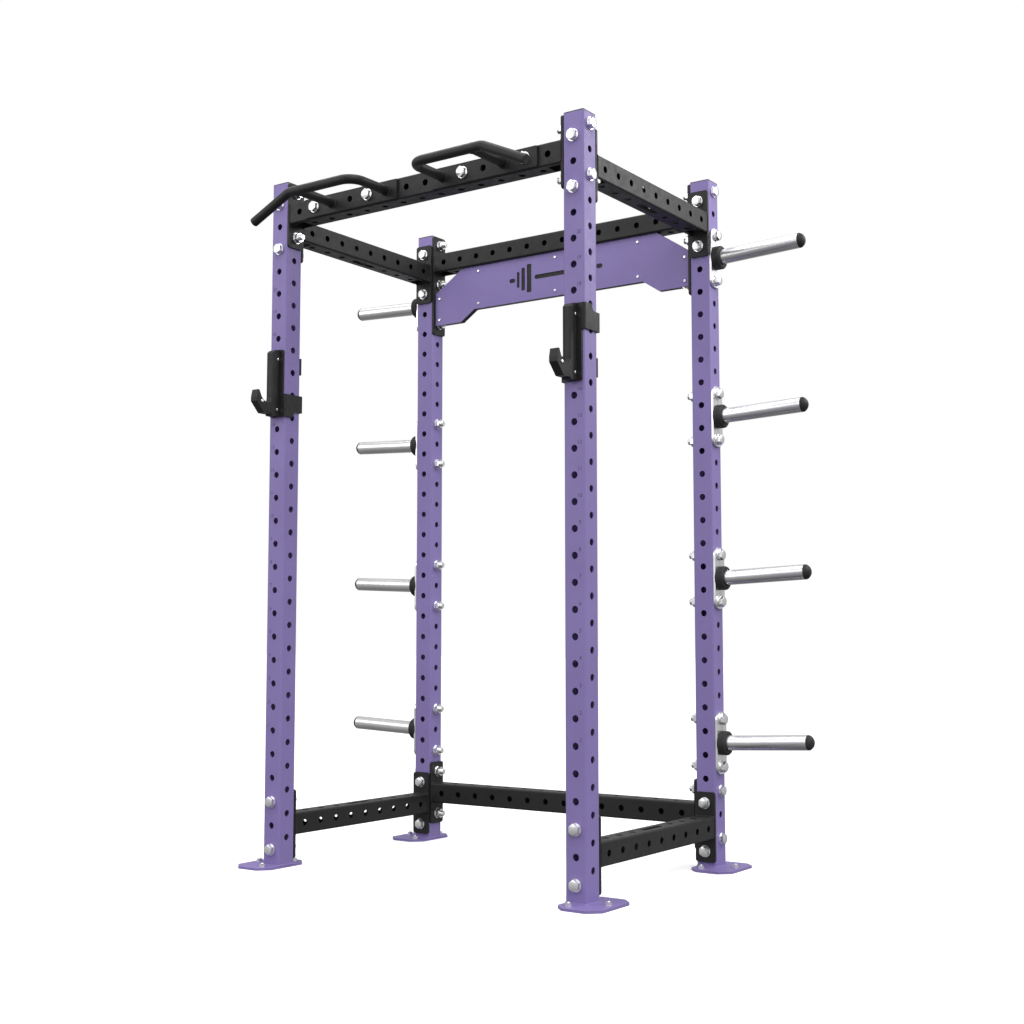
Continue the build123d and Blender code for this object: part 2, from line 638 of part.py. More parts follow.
for side_name, side in SIDES:
    # J-cup frame: x across, y = 0 on the upright's front face, z = 0 on the pin axis
    place = Pos(side * SPAN_X / 2, FRONT_Y - HALF, height(CUP_K))
    save(place * bracket(side), f"jcup_bracket_{side_name}")
    core = hook_slice(-CHEEK_IN, CHEEK_IN)
    cheeks = [hook_slice(-CHEEK_OUT, -CHEEK_IN), hook_slice(CHEEK_IN, CHEEK_OUT)]
    screws = []
    for u, v in SCREWS:
        core -= rod((-CHEEK_OUT - 1, -u, v), (1, 0, 0), 2 * CHEEK_OUT + 2, 3.1)
        cheeks = [c - rod((-CHEEK_OUT - 1, -u, v), (1, 0, 0), 2 * CHEEK_OUT + 2, 3.1) for c in cheeks]
        body = rod((-CHEEK_OUT, -u, v), (1, 0, 0), 2 * CHEEK_OUT, 3.0)
        for s in (-1, 1):
            head = rod((s * CHEEK_OUT, -u, v), (s, 0, 0), 3.0, 5.5)
            rim = [e for e in head.edges().filter_by(GeomType.CIRCLE)
                   if abs(e.arc_center.X - s * (CHEEK_OUT + 3.0)) < 0.01]
            body += fillet(rim, 2.0)
        screws.append(body)
    pin = rod((0, -GAP, 0), (0, 1, 0), PIN_IN + GAP, PIN_R)
    rim = [e for e in pin.edges().filter_by(GeomType.CIRCLE) if e.arc_center.Y > PIN_IN - 1]
    pin = chamfer(rim, 3.0)
    save(place * core, f"jcup_core_{side_name}")
    save([place * c for c in cheeks], f"jcup_cheeks_{side_name}")
    save(place * strap(), f"jcup_strap_{side_name}")
    save(place * pin, f"jcup_pin_{side_name}")
    save([place * s for s in screws], f"jcup_screws_{side_name}")
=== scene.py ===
import json
import math

import bmesh
import bpy
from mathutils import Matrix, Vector


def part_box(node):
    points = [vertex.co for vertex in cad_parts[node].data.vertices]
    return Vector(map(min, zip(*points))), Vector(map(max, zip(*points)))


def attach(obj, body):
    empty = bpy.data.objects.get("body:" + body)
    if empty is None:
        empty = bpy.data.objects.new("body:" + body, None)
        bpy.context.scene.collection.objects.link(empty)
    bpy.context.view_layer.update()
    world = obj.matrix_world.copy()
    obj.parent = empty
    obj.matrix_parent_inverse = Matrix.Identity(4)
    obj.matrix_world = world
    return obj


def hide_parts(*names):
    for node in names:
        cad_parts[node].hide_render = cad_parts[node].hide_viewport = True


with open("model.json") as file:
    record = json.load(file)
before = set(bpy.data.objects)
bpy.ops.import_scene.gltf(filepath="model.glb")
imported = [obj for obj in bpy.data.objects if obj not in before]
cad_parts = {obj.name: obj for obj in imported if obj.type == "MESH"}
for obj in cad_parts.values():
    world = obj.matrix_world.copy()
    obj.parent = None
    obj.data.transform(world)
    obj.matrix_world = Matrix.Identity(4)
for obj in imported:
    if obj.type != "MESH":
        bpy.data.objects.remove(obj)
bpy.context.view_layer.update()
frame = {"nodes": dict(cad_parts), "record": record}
NODES = frame["nodes"]

# ---------------------------------------------------------------- driving dimensions (metres)
PITCH = 0.0762                   # between the centres of neighbouring holes
HOLE_Z0 = 0.0585                 # height of hole 0
FOOT_T = 0.008
TUBE = 0.070
CORNER_R = 0.006
BAR_R = 0.015                    # of the pull-up handles
NUMBERED_HOLES = 20
FIRST_NUMBERED = 5               # hole that carries number 1
FRAME_BODY = "cage_frame"
X, Y, Z = Vector((1, 0, 0)), Vector((0, 1, 0)), Vector((0, 0, 1))

upright_low, upright_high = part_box("upright_front_right")
SPAN_X = upright_low.x + upright_high.x          # between upright centres
FRONT_FACE_Y = upright_low.y


# ---------------------------------------------------------------- materials
# A Mix node has a set of sockets for each data type, so the colour ones are found by number.
MIX_COLOUR_A, MIX_COLOUR_B, MIX_COLOUR_RESULT = 6, 7, 2


class Shader:
    """A principled material and short calls for the nodes in front of it."""

    def __init__(self, name, metallic=0.0, specular=0.5):
        self.material = bpy.data.materials.new(name)
        self.material.use_nodes = True
        self.tree = self.material.node_tree
        self.surface = self.tree.nodes["Principled BSDF"]
        self.surface.inputs["Metallic"].default_value = metallic
        self.surface.inputs["Specular IOR Level"].default_value = specular
        self.place = self.add("ShaderNodeTexCoord").outputs["Object"]

    def add(self, kind, **settings):
        node = self.tree.nodes.new(kind)
        for key, value in settings.items():
            setattr(node, key, value)
        return node

    def link(self, output, target):
        self.tree.links.new(output, target)

    def noise(self, scale, detail=2.0, stretch=None):
        """Noise value from 0 to 1; scale in cells per metre, stretch squeezes it along each axis."""
        place = self.place
        if stretch:
            mapping = self.add("ShaderNodeMapping")
            mapping.inputs["Scale"].default_value = stretch
            self.link(place, mapping.inputs["Vector"])
            place = mapping.outputs["Vector"]
        noise = self.add("ShaderNodeTexNoise")
        noise.inputs["Scale"].default_value = scale
        noise.inputs["Detail"].default_value = detail
        self.link(place, noise.inputs["Vector"])
        return noise.outputs["Fac"]

    def remap(self, value, low, high, from_low=0.3, from_high=0.7):
        node = self.add("ShaderNodeMapRange")
        ends = {"From Min": from_low, "From Max": from_high, "To Min": low, "To Max": high}
        for key, number in ends.items():
            node.inputs[key].default_value = number
        self.link(value, node.inputs["Value"])
        return node.outputs["Result"]

    def blend(self, fac, colour_a, colour_b):
        """Mix two colours, each a tuple or another node's output."""
        mix = self.add("ShaderNodeMix", data_type="RGBA")
        self.link(fac, mix.inputs["Factor"])
        for value, index in ((colour_a, MIX_COLOUR_A), (colour_b, MIX_COLOUR_B)):
            if isinstance(value, tuple):
                mix.inputs[index].default_value = (*value, 1.0)
            else:
                self.link(value, mix.inputs[index])
        return mix.outputs[MIX_COLOUR_RESULT]

    def edges(self, radius):
        """1 along sharp edges, 0 on flats, from a bevelled normal against the true one."""
        bevel = self.add("ShaderNodeBevel", samples=4)
        bevel.inputs["Radius"].default_value = radius
        true_normal = self.add("ShaderNodeNewGeometry").outputs["Normal"]
        dot = self.add("ShaderNodeVectorMath", operation="DOT_PRODUCT")
        self.link(bevel.outputs["Normal"], dot.inputs[0])
        self.link(true_normal, dot.inputs[1])
        return self.remap(dot.outputs["Value"], low=1.0, high=0.0, from_low=0.80, from_high=0.99)

    def worn(self, edge, highlight_patch_scale, strength):
        """Edge mask broken up by noise, so the painted edge highlight comes in patches."""
        patches = self.remap(self.noise(highlight_patch_scale, detail=4.0), 0.0, strength, from_low=0.42, from_high=0.62)
        product = self.add("ShaderNodeMath", operation="MULTIPLY")
        self.link(edge, product.inputs[0])
        self.link(patches, product.inputs[1])
        return product.outputs["Value"]

    def bump(self, height, distance, strength=1.0):
        bump = self.add("ShaderNodeBump")
        bump.inputs["Distance"].default_value = distance
        bump.inputs["Strength"].default_value = strength
        self.link(height, bump.inputs["Height"])
        previous = self.surface.inputs["Normal"].links
        if previous:
            self.link(previous[0].from_socket, bump.inputs["Normal"])
        self.link(bump.outputs["Normal"], self.surface.inputs["Normal"])

    def colour(self, output):
        self.link(output, self.surface.inputs["Base Color"])

    def roughness(self, output):
        self.link(output, self.surface.inputs["Roughness"])


def powder_coat(name, deep, light, fleck_and_highlight_colour, rough, grain, grain_depth, specular):
    """Sprayed coat: slow colour drift, orange peel, and edges painted paler as a highlight."""
    s = Shader(name, specular=specular)
    drift = s.remap(s.noise(scale=4.0, detail=3.0), low=0.0, high=1.0)
    body = s.blend(drift, deep, light)
    speckle = s.remap(s.noise(scale=1400.0, detail=1.0), low=0.0, high=0.16)
    body = s.blend(speckle, body, fleck_and_highlight_colour)
    # painted highlight: sharp edges are lightened in patches towards the paler colour
    coat_edge_highlight = s.worn(s.edges(radius=0.0011), highlight_patch_scale=60.0, strength=0.55)
    s.colour(s.blend(coat_edge_highlight, body, fleck_and_highlight_colour))
    s.roughness(s.remap(s.noise(scale=45.0, detail=4.0), *rough))
    s.bump(s.noise(scale=grain), grain_depth)
    s.bump(s.noise(scale=180.0), grain_depth * 1.5, strength=0.5)
    return s.material


def plated(name, deep, light, rough, cells):
    """Plated steel with faint mottling and handling scratches."""
    s = Shader(name, metallic=1.0)
    mottle = s.remap(s.noise(scale=cells, detail=5.0), low=0.0, high=1.0)
    s.colour(s.blend(mottle, deep, light))
    s.roughness(s.remap(s.noise(scale=cells * 2.5, detail=4.0), *rough))
    s.bump(s.noise(scale=900.0, detail=3.0, stretch=(1.0, 1.0, 0.12)), distance=0.00003)
    return s.material


def turned_metal(name, deep, light):
    """Rolled and polished sleeve: fine rings round its length, slow mottling along it."""
    s = Shader(name, metallic=1.0)
    rings = s.noise(scale=1.0, stretch=(2600.0, 3.0, 3.0))
    mottle = s.remap(s.noise(scale=9.0), low=0.0, high=1.0)
    s.colour(s.blend(mottle, deep, light))
    s.roughness(s.remap(rings, low=0.26, high=0.36))
    s.bump(rings, distance=0.000008)
    s.surface.inputs["Anisotropic"].default_value = 0.35
    return s.material


def moulded(name, deep, light, rough, grain, depth, specular):
    """Plastic or rubber with a moulded grain and edges painted lighter as a highlight."""
    s = Shader(name, specular=specular)
    drift = s.remap(s.noise(scale=14.0, detail=4.0), low=0.0, high=1.0)
    # painted highlight: sharp edges are lightened in patches to three times the light colour
    moulding_edge_highlight = s.worn(s.edges(radius=0.0014), highlight_patch_scale=110.0, strength=0.45)
    highlight_tint = tuple(channel * 3.2 for channel in light)
    s.colour(s.blend(moulding_edge_highlight, s.blend(drift, deep, light), highlight_tint))
    s.roughness(s.remap(s.noise(scale=70.0, detail=4.0), *rough))
    s.bump(s.noise(scale=grain, detail=3.0), depth)
    return s.material


# In the powder coats the third colour flecks the coat and is also painted along the edges as a highlight.
MATERIALS = {
    "purple_powder_coat": powder_coat(
        "purple_coat",
        deep=(0.188, 0.143, 0.352), light=(0.212, 0.163, 0.396), fleck_and_highlight_colour=(0.290, 0.235, 0.480),
        rough=(0.42, 0.54), grain=620.0, grain_depth=0.00005, specular=0.35),
    "black_powder_coat": powder_coat(
        "black_coat",
        deep=(0.009, 0.009, 0.009), light=(0.015, 0.015, 0.015), fleck_and_highlight_colour=(0.062, 0.062, 0.063),
        rough=(0.38, 0.52), grain=950.0, grain_depth=0.00008, specular=0.24),
    "zinc_plate": plated(
        "zinc", deep=(0.80, 0.81, 0.83), light=(0.88, 0.88, 0.89), rough=(0.26, 0.34), cells=60.0),
    "bright_fastener": plated(
        "bright", deep=(0.80, 0.80, 0.81), light=(0.92, 0.92, 0.92), rough=(0.12, 0.24), cells=220.0),
    "brushed_sleeve": turned_metal("sleeve_metal", deep=(0.74, 0.73, 0.74), light=(0.80, 0.80, 0.81)),
    "black_plastic": moulded(
        "plastic", deep=(0.018, 0.018, 0.019), light=(0.028, 0.028, 0.029),
        rough=(0.42, 0.56), grain=1300.0, depth=0.00006, specular=0.15),
    "black_rubber": moulded(
        "rubber", deep=(0.014, 0.014, 0.015), light=(0.024, 0.024, 0.025),
        rough=(0.55, 0.75), grain=800.0, depth=0.00012, specular=0.3),
}


def ink():
    """Dark paint of the hole numbers, thin in places."""
    s = Shader("number_ink")
    thin = s.remap(s.noise(scale=500.0, detail=3.0), low=0.0, high=0.5, from_low=0.5, from_high=0.8)
    s.colour(s.blend(thin, (0.030, 0.022, 0.060), (0.110, 0.085, 0.200)))
    s.roughness(s.remap(s.noise(scale=300.0), low=0.45, high=0.65))
    s.bump(s.noise(scale=700.0), distance=0.00004)
    return s.material


INK = ink()


# ---------------------------------------------------------------- helpers
SMOOTH_ANGLE = math.radians(35)  # edges sharper than this stay sharp
SAME_POINT = 1e-6


def piece(name, mesh, slot, body=FRAME_BODY, material=None):
    """A finished object: shaded, given its material, and riding on its body."""
    made = bpy.data.objects.new(name, mesh)
    bpy.context.scene.collection.objects.link(made)
    mesh.shade_smooth()
    mesh.set_sharp_from_angle(angle=SMOOTH_ANGLE)
    mesh.materials.append(material or MATERIALS[slot])
    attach(made, body)
    return made


def mesh_from(bm, name):
    bmesh.ops.recalc_face_normals(bm, faces=bm.faces)
    mesh = bpy.data.meshes.new(name)
    bm.to_mesh(mesh)
    bm.free()
    return mesh


def loose_parts(node):
    """Vertex positions of each separate solid in a CAD node."""
    bm = bmesh.new()
    bm.from_mesh(NODES[node].data)
    bmesh.ops.remove_doubles(bm, verts=bm.verts, dist=SAME_POINT)
    seen = set()
    parts = []
    for start in bm.verts:
        if start in seen:
            continue
        seen.add(start)
        stack = [start]
        found = []
        while stack:
            vert = stack.pop()
            found.append(vert.co.copy())
            for edge in vert.link_edges:
                other = edge.other_vert(vert)
                if other not in seen:
                    seen.add(other)
                    stack.append(other)
        parts.append(found)
    bm.free()
    return parts


def extent(points):
    """Lowest and highest corner of the box round some points."""
    low = Vector(min(p[i] for p in points) for i in range(3))
    high = Vector(max(p[i] for p in points) for i in range(3))
    return low, high


def ring_of(bm, origin, across, up, along, radii, distance):
    """Closed ring of vertices; radii, and distance where it is a list, hold one value a step."""
    ring = []
    for i, radius in enumerate(radii):
        angle = 2 * math.pi * i / len(radii)
        spoke = across * math.cos(angle) + up * math.sin(angle)
        offset = distance[i] if isinstance(distance, list) else distance
        ring.append(bm.verts.new(origin + spoke * radius + along * offset))
    return ring


def bridge(bm, ring_a, ring_b):
    """Faces between two rings with the same number of vertices."""
    count = len(ring_a)
    for i in range(count):
        j = (i + 1) % count
        bm.faces.new((ring_a[i], ring_a[j], ring_b[j], ring_b[i]))


# ---------------------------------------------------------------- fasteners
HEX_FLATS = 0.030
HEAD_H = 0.0125
BOLT_R = 0.010
THREAD_PITCH = 0.0025
THREAD_DEPTH = 0.0013
THREAD_LEN = 0.030
ROWS_PER_TURN = 4
FADE_ROWS = 4                    # rows over which a thread grows to its full depth, and dies out
END_DEPTH = 0.25                 # share of the depth left at the thread's far end
CHAMFER_R = 0.0138               # flat circle on top of a hex head
CHAMFER_SLOPE = math.tan(math.radians(30))
SEAT_EDGE = 0.0006               # broken edge of a hex head, next to its seat
TIP_TAPER = 0.0015               # length of the plain taper past a bolt's thread
TIP_CUT = 0.0016                 # what that taper takes off the radius
STUD_THREAD_FROM = 0.004         # from an anchor stud's lower end to where its thread starts
STUD_TIP = 0.0012                # length of the stud's taper, and what it takes off the radius
STEPS = 48                       # vertices round a bolt, a multiple of 6


def hex_radii(flats):
    """Distance from the axis to a hexagon's edge at each step, corners up and down."""
    radii = []
    for i in range(STEPS):
        angle = math.degrees(2 * math.pi * i / STEPS) % 60
        radii.append(flats / 2 / math.cos(math.radians(angle if angle <= 30 else 60 - angle)))
    return radii


def thread(bm, origin, across, up, along, start, end, radius):
    """Helical thread from start to end along the axis; returns its first and last rings."""
    rows = max(2, round((end - start) / (THREAD_PITCH / ROWS_PER_TURN)))
    first = last = None
    for row in range(rows + 1):
        distance = start + (end - start) * row / rows
        fade = min(1.0, row / FADE_ROWS, (rows - row) / FADE_ROWS + END_DEPTH)
        radii = []
        for i in range(STEPS):
            phase = (distance / THREAD_PITCH - i / STEPS) % 1.0
            radii.append(radius - THREAD_DEPTH * fade * abs(2 * phase - 1))
        ring = ring_of(bm, origin, across, up, along, radii, distance)
        if last is None:
            first = ring
        else:
            bridge(bm, last, ring)
        last = ring
    return first, last


def add_bolt(bm, seat, along, length):
    """Hex head standing back from the seat, plain shank, and a threaded end."""
    across = along.cross(Z).normalized()
    corners = hex_radii(HEX_FLATS)
    foot = [r - SEAT_EDGE for r in corners]
    shoulder = [-HEAD_H + CHAMFER_SLOPE * max(0.0, r - CHAMFER_R) for r in corners]
    rings = [
        ring_of(bm, seat, across, Z, along, [BOLT_R] * STEPS, 0.0),
        ring_of(bm, seat, across, Z, along, foot, 0.0),
        ring_of(bm, seat, across, Z, along, corners, -SEAT_EDGE),
        ring_of(bm, seat, across, Z, along, corners, shoulder),
        ring_of(bm, seat, across, Z, along, [CHAMFER_R] * STEPS, -HEAD_H),
    ]
    for ring_a, ring_b in zip(rings, rings[1:]):
        bridge(bm, ring_a, ring_b)
    bm.faces.new(rings[-1])
    first, last = thread(bm, seat, across, Z, along, length - THREAD_LEN, length - TIP_TAPER, BOLT_R)
    bridge(bm, rings[0], first)
    tip = ring_of(bm, seat, across, Z, along, [BOLT_R - TIP_CUT] * STEPS, length)
    bridge(bm, last, tip)
    bm.faces.new(tip)


def detailed_bolts(node):
    """Threaded bolts in place of a CAD node's plain ones."""
    bm = bmesh.new()
    for points in loose_parts(node):
        low, high = extent(points)
        size = high - low
        axis = max(range(3), key=lambda i: size[i])
        centre = (low + high) / 2
        reach = [0.0, 0.0]
        for p in points:
            off = p - centre
            off[axis] = 0
            end = 0 if p[axis] < centre[axis] else 1
            reach[end] = max(reach[end], off.length)
        along = Vector((0, 0, 0))
        along[axis] = 1 if reach[0] > reach[1] else -1
        seat = centre.copy()
        seat[axis] = (low if along[axis] > 0 else high)[axis] + along[axis] * HEAD_H
        add_bolt(bm, seat, along, size[axis] - HEAD_H)
    made = piece(f"{node}_threaded", mesh_from(bm, node), "zinc_plate")
    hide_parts(node)


for bolt_node in ("beam_bolts", "handle_bolts", "horn_bolts"):
    detailed_bolts(bolt_node)


def detailed_anchor_studs():
    """Threaded anchor studs in place of the plain rods at the feet."""
    bm = bmesh.new()
    for points in loose_parts("floor_anchor_studs"):
        low, high = extent(points)
        radius = (high.x - low.x) / 2
        foot = Vector(((low.x + high.x) / 2, (low.y + high.y) / 2, low.z))
        height = high.z - low.z
        first, last = thread(bm, foot, X, Y, Z, STUD_THREAD_FROM, height - STUD_TIP, radius)
        base = ring_of(bm, foot, X, Y, Z, [radius] * STEPS, 0.0)
        tip = ring_of(bm, foot, X, Y, Z, [radius - STUD_TIP] * STEPS, height)
        bm.faces.new(base)
        bridge(bm, base, first)
        bridge(bm, last, tip)
        bm.faces.new(tip)
    made = piece("anchor_studs_threaded", mesh_from(bm, "anchor_studs"), "zinc_plate")
    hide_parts("floor_anchor_studs")


detailed_anchor_studs()


# ---------------------------------------------------------------- welds
RIPPLE = 0.0034                  # spacing of the ripples along a bead
WINDOW_WIDE_EDGE = 0.0155        # steel beside the window under a beam's end, on one side
WINDOW_THIN_EDGE = 0.0065        # and on the other
SWELL = 0.13                     # how far a ripple widens the bead, as a share of its radius
BEAD_SIDES = 8
STEEP = 0.9                      # above this rise, a path's cross direction is taken from X, not Z
UNDERSIDE_DEPTH = 1e-4           # points this near a beam's underside count as on it
FOOT_BEAD_R = 0.0034
BEAM_BEAD_R = 0.0026
BAR_BEAD_R = 0.0030              # where a handle's bar or strut meets its plate
SADDLE_BEAD_R = 0.0024           # where the strut meets the grip
CORNER_STEPS = 7                 # along one rounded corner of a tube
RUN_STEPS = 60                   # along one flat side of a tube
CIRCLE_STEPS = 96


def add_bead(bm, path, radius, closed=True):
    """Weld bead along a path, its width pulsing with each ripple."""
    count = len(path)
    travelled = 0.0
    rings = []
    for i, point in enumerate(path):
        ahead, behind = path[(i + 1) % count], path[i - 1]
        if not closed and i == 0:
            behind = point
        if not closed and i == count - 1:
            ahead = point
        tangent = (ahead - behind).normalized()
        helper = Z if abs(tangent.z) < STEEP else X
        across = tangent.cross(helper).normalized()
        up = across.cross(tangent)
        pulse = radius * (1.0 + SWELL * math.cos(2 * math.pi * travelled / RIPPLE))
        rings.append(ring_of(bm, point, across, up, tangent, [pulse] * BEAD_SIDES, 0.0))
        travelled += (ahead - point).length
    for ring_a, ring_b in zip(rings, rings[1:]):
        bridge(bm, ring_a, ring_b)
    if closed:
        bridge(bm, rings[-1], rings[0])
    else:
        bm.faces.new(rings[0])
        bm.faces.new(rings[-1])


def square_path(centre, axis_u, axis_v):
    """Closed path round a square tube with rounded corners, about a millimetre a step."""
    half = TUBE / 2 - CORNER_R
    path = []
    for quarter in range(4):
        turn = math.pi / 2 * quarter
        mid = Vector((math.copysign(half, math.cos(turn + math.pi / 4)),
                      math.copysign(half, math.sin(turn + math.pi / 4))))
        for step in range(CORNER_STEPS):
            angle = turn + math.pi / 2 * step / CORNER_STEPS
            flat = mid + Vector((math.cos(angle), math.sin(angle))) * CORNER_R
            path.append(centre + axis_u * flat.x + axis_v * flat.y)
        run_start = mid + Vector((math.cos(turn + math.pi / 2), math.sin(turn + math.pi / 2))) * CORNER_R
        run_dir = Vector((math.cos(turn + math.pi), math.sin(turn + math.pi)))
        for step in range(RUN_STEPS):
            flat = run_start + run_dir * (2 * half * step / RUN_STEPS)
            path.append(centre + axis_u * flat.x + axis_v * flat.y)
    return path


def beam_path(centre, across, out):
    """Open path round a beam's end that leaves out the window in its underside."""
    path = square_path(centre, across, Z)
    edges = (-out * (TUBE / 2 - WINDOW_WIDE_EDGE), out * (TUBE / 2 - WINDOW_THIN_EDGE))

    def in_window(point):
        offset = point - centre
        return offset.z < UNDERSIDE_DEPTH - TUBE / 2 and min(edges) < offset.dot(across) < max(edges)

    gap = [i for i, point in enumerate(path) if in_window(point)]
    return path[gap[-1] + 1:] + path[:gap[0]]


def circle_path(centre, axis_u, axis_v, radius):
    path = []
    for i in range(CIRCLE_STEPS):
        angle = 2 * math.pi * i / CIRCLE_STEPS
        path.append(centre + axis_u * radius * math.cos(angle) + axis_v * radius * math.sin(angle))
    return path


def weld_feet():
    bm = bmesh.new()
    for node in ("front_left", "front_right", "rear_left", "rear_right"):
        low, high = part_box(f"upright_{node}")
        centre = Vector(((low.x + high.x) / 2, (low.y + high.y) / 2, FOOT_T))
        add_bead(bm, square_path(centre, X, Y), FOOT_BEAD_R)
    piece("foot_welds", mesh_from(bm, "foot_welds"), "purple_powder_coat")


def weld_beams():
    bm = bmesh.new()
    for side in ("left", "right"):
        for level in ("top", "bottom"):
            low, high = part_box(f"side_beam_{level}_{side}")
            middle = (low + high) / 2
            for y in (low.y, high.y):
                path = beam_path(Vector((middle.x, y, middle.z)), X, math.copysign(1, middle.x))
                add_bead(bm, path, BEAM_BEAD_R, closed=False)
    for node in ("pull_up_beam", "rear_bottom_beam", "rear_top_beam"):
        low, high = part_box(node)
        middle = (low + high) / 2
        for x in (low.x, high.x):
            path = beam_path(Vector((x, middle.y, middle.z)), Y, -math.copysign(1, middle.y))
            add_bead(bm, path, BEAM_BEAD_R, closed=False)
    piece("beam_welds", mesh_from(bm, "beam_welds"), "black_powder_coat")


def weld_handles():
    """Beads where each bar and strut meets its plate, and where the strut meets the grip."""
    bm = bmesh.new()
    for side in ("left", "right"):
        plate_low, plate_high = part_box(f"handle_plate_{side}")
        bar_low, bar_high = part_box(f"handle_bar_{side}")
        strut_low, strut_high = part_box(f"handle_strut_{side}")
        z = (plate_low.z + plate_high.z) / 2
        strut_x = (strut_low.x + strut_high.x) / 2
        leg_x = bar_high.x - BAR_R if side == "left" else bar_low.x + BAR_R
        for x in (leg_x, strut_x):
            add_bead(bm, circle_path(Vector((x, plate_low.y, z)), X, Z, BAR_R), BAR_BEAD_R)
        grip_y = bar_low.y + BAR_R
        saddle = []
        for i in range(CIRCLE_STEPS):
            angle = 2 * math.pi * i / CIRCLE_STEPS
            saddle.append(Vector((strut_x + BAR_R * math.cos(angle),
                                  grip_y + BAR_R * abs(math.cos(angle)),
                                  z + BAR_R * math.sin(angle))))
        add_bead(bm, saddle, SADDLE_BEAD_R)
    piece("handle_welds", mesh_from(bm, "handle_welds"), "black_powder_coat")


weld_feet()
weld_beams()
weld_handles()


# ---------------------------------------------------------------- hole numbers
NUMBER_HEIGHT = 0.0115
NUMBER_OUT = 0.0180              # from the hole to the middle of its number
NUMBER_UP = 0.0165
INK_T = 0.00012
DIGIT_SHARE = 0.7                # a digit's height as a share of the font's size


def hole_numbers(side_name, side):
    """Numbers beside the holes a J-cup can use, on one front upright."""
    bm = bmesh.new()
    for number in range(1, NUMBERED_HOLES + 1):
        curve = bpy.data.curves.new("number", "FONT")
        curve.body = str(number)
        curve.size = NUMBER_HEIGHT / DIGIT_SHARE
        curve.align_x = "CENTER"
        curve.align_y = "CENTER"
        curve.extrude = INK_T / 2
        curve.resolution_u = 3
        holder = bpy.data.objects.new("number", curve)
        bpy.context.scene.collection.objects.link(holder)
        bpy.context.view_layer.update()
        flat = bpy.data.meshes.new_from_object(holder.evaluated_get(bpy.context.evaluated_depsgraph_get()))
        hole_z = HOLE_Z0 + PITCH * (number + FIRST_NUMBERED - 1)
        x = side * SPAN_X / 2 + side * NUMBER_OUT
        for vert in flat.vertices:
            vert.co = Vector((vert.co.x + x, FRONT_FACE_Y - vert.co.z, vert.co.y + hole_z + NUMBER_UP))
        bm.from_mesh(flat)
        bpy.data.objects.remove(holder)
        bpy.data.curves.remove(curve)
        bpy.data.meshes.remove(flat)
    piece(f"hole_numbers_{side_name}", mesh_from(bm, "hole_numbers"), "purple_powder_coat", material=INK)


hole_numbers("left", -1)
hole_numbers("right", 1)


# ---------------------------------------------------------------- finish of the CAD nodes
JOIN_DISTANCE = 1e-5
BEVEL_ANGLE = math.radians(40)   # edges sharper than this are rounded
PAIRED_EDGES = {                 # width and segments of the rounding, on the left and right nodes
    "jcup_cheeks": (0.0018, 3),
    "jcup_core": (0.0010, 2),
    "jcup_bracket": (0.0010, 2),
    "jcup_strap": (0.0008, 2),
    "handle_plate": (0.0010, 2),
}
PLATE_EDGE = (0.0008, 2)


def round_edges(node, width, segments):
    """Small true radius on a CAD node's sharp edges, by modifiers only."""
    target = NODES[node]
    weld = target.modifiers.new("join", "WELD")
    weld.merge_threshold = JOIN_DISTANCE
    bevel = target.modifiers.new("edges", "BEVEL")
    bevel.width = width
    bevel.segments = segments
    bevel.limit_method = "ANGLE"
    bevel.angle_limit = BEVEL_ANGLE
    bevel.use_clamp_overlap = True
    normals = target.modifiers.new("normals", "WEIGHTED_NORMAL")
    normals.keep_sharp = True


for side_word in ("left", "right"):
    for part_name, rounding in PAIRED_EDGES.items():
        round_edges(f"{part_name}_{side_word}", *rounding)
for plate_node in ("horn_plates", "side_beam_flanges", "cross_beam_flanges", "rear_top_beam_flanges"):
    round_edges(plate_node, *PLATE_EDGE)

for entry in frame["record"]["subparts"]:
    target = NODES[entry["node"]]
    target.data.materials.clear()
    target.data.materials.append(MATERIALS[entry["material_slot"]])


# ---------------------------------------------------------------- floor, light and camera
FLOOR_GLOW = 0.30                # keeps the floor white up to the soft shadows at the feet
FLOOR_REACH = 40.0
DIM_BELOW, DIM_ABOVE = -0.9, -0.1    # the world dims between these z values of a direction
CAMERA_PLACE = (2.7390, -3.7553, 0.7451)
CAMERA_PITCH, CAMERA_YAW = math.radians(95.0), math.radians(35.0)


def set_stage():
    mesh = bpy.data.meshes.new("floor")
    corners = [(x * FLOOR_REACH, y * FLOOR_REACH, 0) for x, y in ((-1, -1), (1, -1), (1, 1), (-1, 1))]
    mesh.from_pydata(corners, [], [(0, 1, 2, 3)])
    floor = bpy.data.objects.new("floor", mesh)
    bpy.context.scene.collection.objects.link(floor)
    s = Shader("pale_floor")
    drift = s.remap(s.noise(scale=0.6), low=0.0, high=1.0)
    s.colour(s.blend(drift, (0.89, 0.89, 0.89), (0.91, 0.91, 0.91)))
    s.roughness(s.remap(s.noise(scale=3.0), low=0.85, high=0.95))
    s.surface.inputs["Emission Color"].default_value = (1.0, 1.0, 1.0, 1.0)
    s.surface.inputs["Emission Strength"].default_value = FLOOR_GLOW
    mesh.materials.append(s.material)
    floor.visible_diffuse = False
    floor.visible_glossy = False


def area_light(name, place, target, size, power):
    """Softbox, out of the camera's sight."""
    data = bpy.data.lights.new(name, "AREA")
    data.shape = "RECTANGLE"
    data.size, data.size_y = size
    data.energy = power
    light = bpy.data.objects.new(name, data)
    light.location = place
    light.rotation_euler = (Vector(target) - Vector(place)).to_track_quat("-Z", "Y").to_euler()
    light.visible_camera = False
    bpy.context.scene.collection.objects.link(light)


def sun_light(name, direction, spread, strength):
    """Even light from one side, as soft as its spread in degrees."""
    data = bpy.data.lights.new(name, "SUN")
    data.angle = math.radians(spread)
    data.energy = strength
    light = bpy.data.objects.new(name, data)
    light.rotation_euler = Vector(direction).to_track_quat("Z", "Y").to_euler()
    bpy.context.scene.collection.objects.link(light)


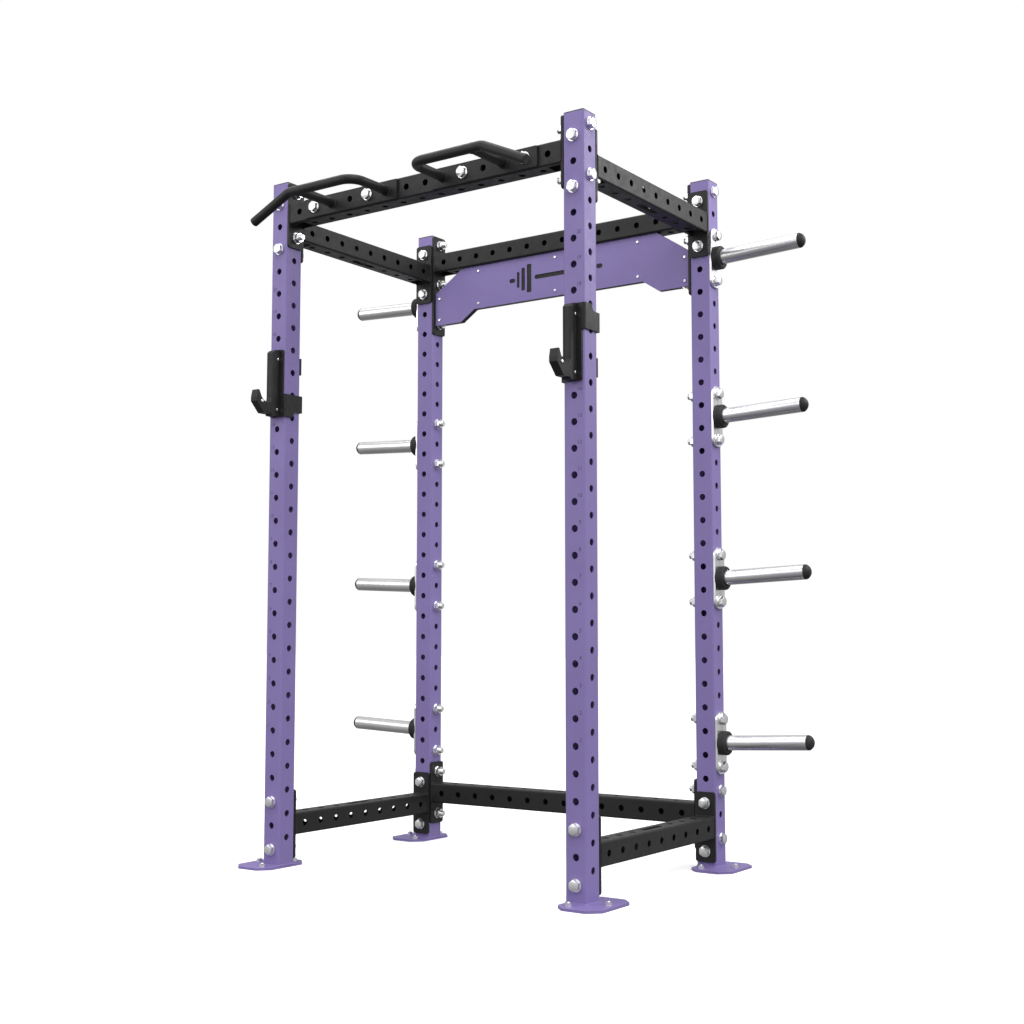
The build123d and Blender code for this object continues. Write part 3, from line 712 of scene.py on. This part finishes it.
def set_world(below, level, above):
    """White backdrop; as a light it is dimmest straight below and brightest overhead."""
    world = bpy.data.worlds.new("studio")
    bpy.context.scene.world = world
    world.use_nodes = True
    tree = world.node_tree
    background = tree.nodes["Background"]
    background.inputs["Color"].default_value = (1.0, 1.0, 1.0, 1.0)
    direction = tree.nodes.new("ShaderNodeTexCoord")
    split = tree.nodes.new("ShaderNodeSeparateXYZ")
    tree.links.new(direction.outputs["Generated"], split.inputs["Vector"])
    rising = tree.nodes.new("ShaderNodeMapRange")
    rising.inputs["From Min"].default_value = 0.0
    rising.inputs["To Min"].default_value = level
    rising.inputs["To Max"].default_value = above
    falling = tree.nodes.new("ShaderNodeMapRange")
    falling.inputs["From Min"].default_value = DIM_BELOW
    falling.inputs["From Max"].default_value = DIM_ABOVE
    falling.inputs["To Min"].default_value = below / level
    falling.inputs["To Max"].default_value = 1.0
    tree.links.new(split.outputs["Z"], rising.inputs["Value"])
    tree.links.new(split.outputs["Z"], falling.inputs["Value"])
    product = tree.nodes.new("ShaderNodeMath")
    product.operation = "MULTIPLY"
    tree.links.new(rising.outputs["Result"], product.inputs[0])
    tree.links.new(falling.outputs["Result"], product.inputs[1])
    backdrop = tree.nodes.new("ShaderNodeMath")
    backdrop.operation = "MAXIMUM"
    light_path = tree.nodes.new("ShaderNodeLightPath")
    tree.links.new(light_path.outputs["Is Camera Ray"], backdrop.inputs[0])
    tree.links.new(product.outputs["Value"], backdrop.inputs[1])
    tree.links.new(backdrop.outputs["Value"], background.inputs["Strength"])


def set_camera():
    data = bpy.data.cameras.new("camera")
    data.lens = 50.0
    data.sensor_width = 36.0
    data.clip_end = 200.0
    camera = bpy.data.objects.new("camera", data)
    camera.location = CAMERA_PLACE
    camera.rotation_euler = (CAMERA_PITCH, 0.0, CAMERA_YAW)
    bpy.context.scene.collection.objects.link(camera)
    bpy.context.scene.camera = camera


set_stage()
set_world(below=0.12, level=0.50, above=0.70)
sun_light("overhead", direction=(0.62, -0.42, 0.66), spread=60.0, strength=1.9)
area_light("front_softbox", place=(-2.5, -4.0, 3.1), target=(0.0, -0.3, 1.4), size=(5.4, 3.2), power=84.0)
area_light("top_softbox", place=(-0.7, -0.3, 4.3), target=(0.2, 0.1, 1.0), size=(3.2, 2.6), power=50.0)
area_light("rear_softbox", place=(2.5, 1.75, 3.0), target=(0.6, -0.3, 2.0), size=(1.3, 1.5), power=46.0)
set_camera()
bpy.context.scene.view_settings.view_transform = "Standard"
